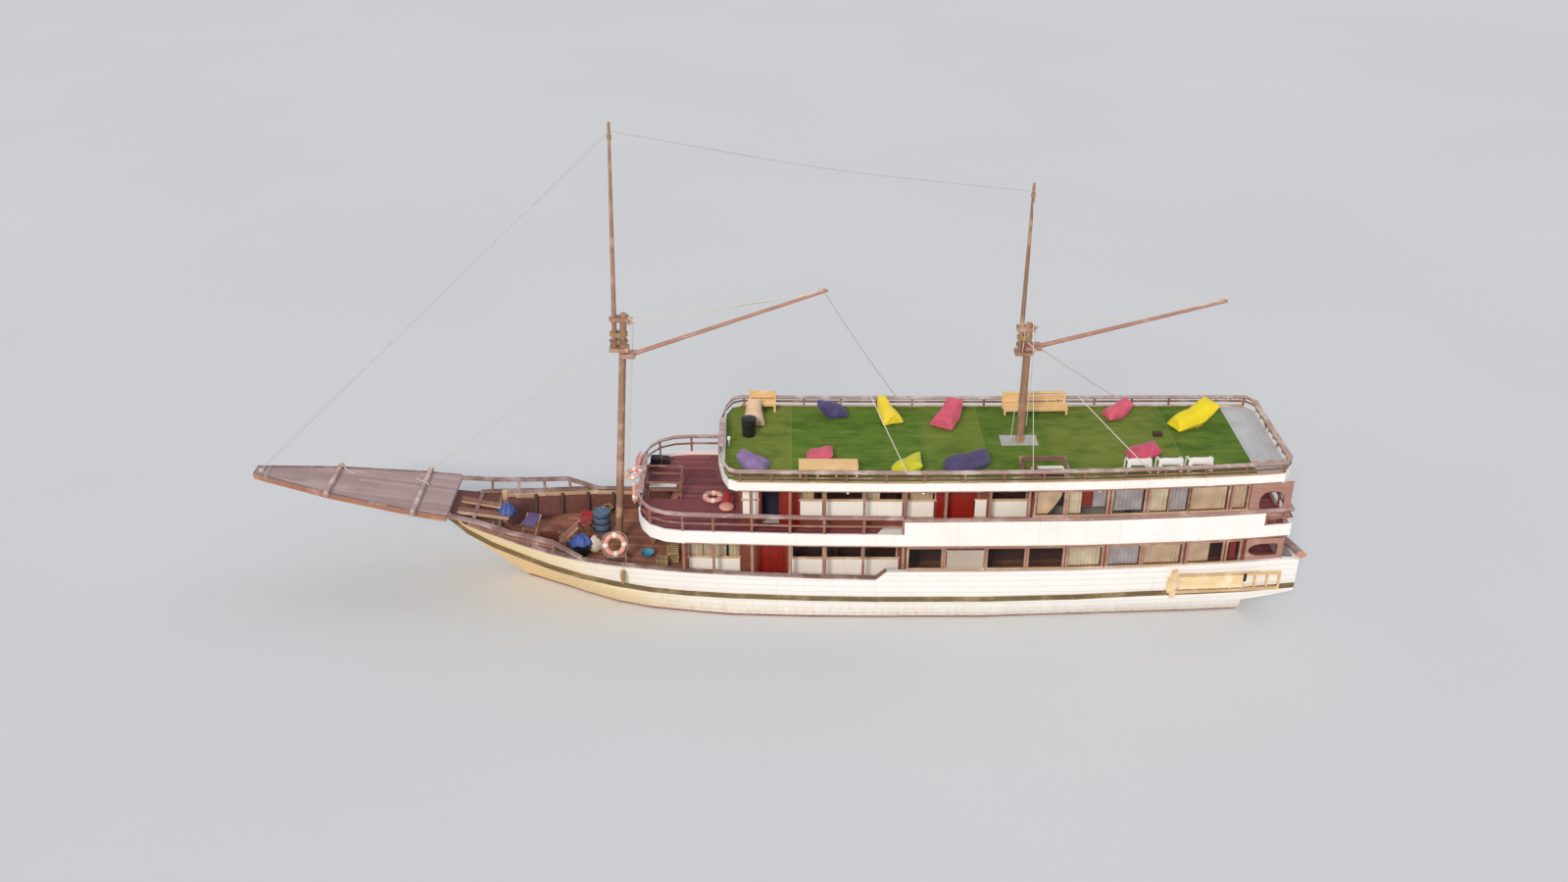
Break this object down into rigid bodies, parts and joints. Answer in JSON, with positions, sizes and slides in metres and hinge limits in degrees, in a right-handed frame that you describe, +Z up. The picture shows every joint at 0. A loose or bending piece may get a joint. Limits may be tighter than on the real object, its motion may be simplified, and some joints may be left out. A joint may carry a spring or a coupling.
{
  "type": "phinisi schooner",
  "caption": "Two-masted wooden cruising schooner with two house decks, turfed sun deck and long bow platform.",
  "frame": {"origin": "on the waterline, on the centreline, at the middle of the hull's length", "axes": "+X aft along the keel, +Y to starboard, +Z up; the bow platform points along -X"},
  "size_m": [32.4, 5.524, 16.8712],
  "materials": {
    "hull_paint": "weathered gloss white over planking, red below the waterline",
    "rail_olive": "dark olive painted timber",
    "brown_wood": "brown painted timber, worn",
    "deck_plank": "weathered deck planking",
    "platform_wood": "weathered pinkish brown planks",
    "engine_paint": "painted cast iron",
    "bronze": "dull bronze",
    "rudder_wood": "antifouled timber",
    "pale_wood": "varnished pale timber",
    "house_paint": "brown painted timber with white panels",
    "red_door": "red varnished door",
    "white_paint": "white painted timber",
    "turf": "artificial grass",
    "grey_steel": "painted steel plate",
    "mast_wood": "oiled round timber",
    "stay_wire": "galvanised wire",
    "white_plastic": "moulded plastic",
    "drum_plastic": "blue drum, scuffed",
    "bin_plastic": "black plastic",
    "bean_bag_beige": "coated bean bag cloth",
    "bean_bag_navy_starboard": "coated bean bag cloth",
    "bean_bag_yellow_starboard": "coated bean bag cloth",
    "bean_bag_pink_middle": "coated bean bag cloth",
    "bean_bag_pink_starboard": "coated bean bag cloth",
    "bean_bag_yellow_large": "coated bean bag cloth",
    "bean_bag_purple": "coated bean bag cloth",
    "bean_bag_pink_port": "coated bean bag cloth",
    "bean_bag_lime": "coated bean bag cloth",
    "bean_bag_navy_port": "coated bean bag cloth",
    "bean_bag_pink_aft": "coated bean bag cloth"
  },
  "bodies": {
    "root": {"hull": "hull_paint", "bulwark": "hull_paint", "rub_rail_port": "rail_olive", "rub_rail_starboard": "rail_olive", "bow_rail_port": "brown_wood", "bow_rail_starboard": "brown_wood", "main_deck": "deck_plank", "bow_platform": "platform_wood", "samson_post": "brown_wood", "engine_block": "engine_paint", "boarding_ladder": "pale_wood", "lower_house": "house_paint", "lower_frames": "brown_wood", "upper_deck": "white_paint", "upper_rail": "brown_wood", "upper_house": "house_paint", "upper_frames": "brown_wood", "fore_stair": "brown_wood", "sun_deck": "white_paint", "turf": "turf", "sun_rail": "brown_wood", "sun_stair": "brown_wood", "mast_plate": "grey_steel", "foremast": "mast_wood", "fore_topmast": "mast_wood", "mainmast": "mast_wood", "main_topmast": "mast_wood", "topmast_stay": "stay_wire", "forestay": "stay_wire", "triatic_stay": "stay_wire", "bench_forward": "pale_wood", "bench_large": "pale_wood", "bench_port": "pale_wood", "white_chair_1": "white_plastic", "white_chair_2": "white_plastic", "white_chair_3": "white_plastic", "drum": "drum_plastic", "deck_bin": "bin_plastic", "bean_bag_beige": "bean_bag_beige", "bean_bag_navy_starboard": "bean_bag_navy_starboard", "bean_bag_yellow_starboard": "bean_bag_yellow_starboard", "bean_bag_pink_middle": "bean_bag_pink_middle", "bean_bag_pink_starboard": "bean_bag_pink_starboard", "bean_bag_yellow_large": "bean_bag_yellow_large", "bean_bag_purple": "bean_bag_purple", "bean_bag_pink_port": "bean_bag_pink_port", "bean_bag_lime": "bean_bag_lime", "bean_bag_navy_port": "bean_bag_navy_port", "bean_bag_pink_aft": "bean_bag_pink_aft"},
    "fore_gaff_body": {"fore_gaff": "mast_wood"},
    "main_gaff_body": {"main_gaff": "mast_wood"},
    "rudder_body": {"rudder": "rudder_wood"},
    "propeller_body": {"propeller": "bronze"},
    "lower_door_port_leaf": {"lower_door_port": "red_door"},
    "cabin_door_port_leaf": {"cabin_door_port": "red_door"},
    "sliding_door_port_leaf": {"sliding_door_port": "red_door"},
    "lower_door_starboard_leaf": {"lower_door_starboard": "red_door"},
    "cabin_door_starboard_leaf": {"cabin_door_starboard": "red_door"},
    "sliding_door_starboard_leaf": {"sliding_door_starboard": "red_door"}
  },
  "joints": [
    {"name": "fore_gaff_swing", "type": "hinge", "parent": "root", "child": "fore_gaff_body", "pos_m": [-7.6718, 0, 7.85], "axis": [0.0683, 0, 0.9977], "range_deg": [-60, 60]},
    {"name": "main_gaff_swing", "type": "hinge", "parent": "root", "child": "main_gaff_body", "pos_m": [4.53, 0, 8.11], "axis": [0, 0, 1], "range_deg": [-45, 45]},
    {"name": "rudder_turn", "type": "hinge", "parent": "root", "child": "rudder_body", "pos_m": [11.56, 0, -0.6], "axis": [0, 0, 1], "range_deg": [-35, 35]},
    {"name": "propeller_turn", "type": "hinge", "parent": "root", "child": "propeller_body", "pos_m": [10.3703, 0, -0.95], "axis": [1, 0, 0], "continuous": true},
    {"name": "lower_door_port_hinge", "type": "hinge", "parent": "root", "child": "lower_door_port_leaf", "pos_m": [-3.487, -1.89, 1.6], "axis": [0, 0, 1], "range_deg": [0, 95]},
    {"name": "cabin_door_port_hinge", "type": "hinge", "parent": "root", "child": "cabin_door_port_leaf", "pos_m": [2.193, -1.89, 3.6], "axis": [0, 0, 1], "range_deg": [0, 95]},
    {"name": "sliding_door_port_slide", "type": "slide", "parent": "root", "child": "sliding_door_port_leaf", "axis": [1, 0, 0], "range_m": [-0.58, 0]},
    {"name": "lower_door_starboard_hinge", "type": "hinge", "parent": "root", "child": "lower_door_starboard_leaf", "pos_m": [-3.487, 1.89, 1.6], "axis": [0, 0, -1], "range_deg": [0, 95]},
    {"name": "cabin_door_starboard_hinge", "type": "hinge", "parent": "root", "child": "cabin_door_starboard_leaf", "pos_m": [2.193, 1.89, 3.6], "axis": [0, 0, -1], "range_deg": [0, 95]},
    {"name": "sliding_door_starboard_slide", "type": "slide", "parent": "root", "child": "sliding_door_starboard_leaf", "axis": [1, 0, 0], "range_m": [-0.58, 0]}
  ]
}
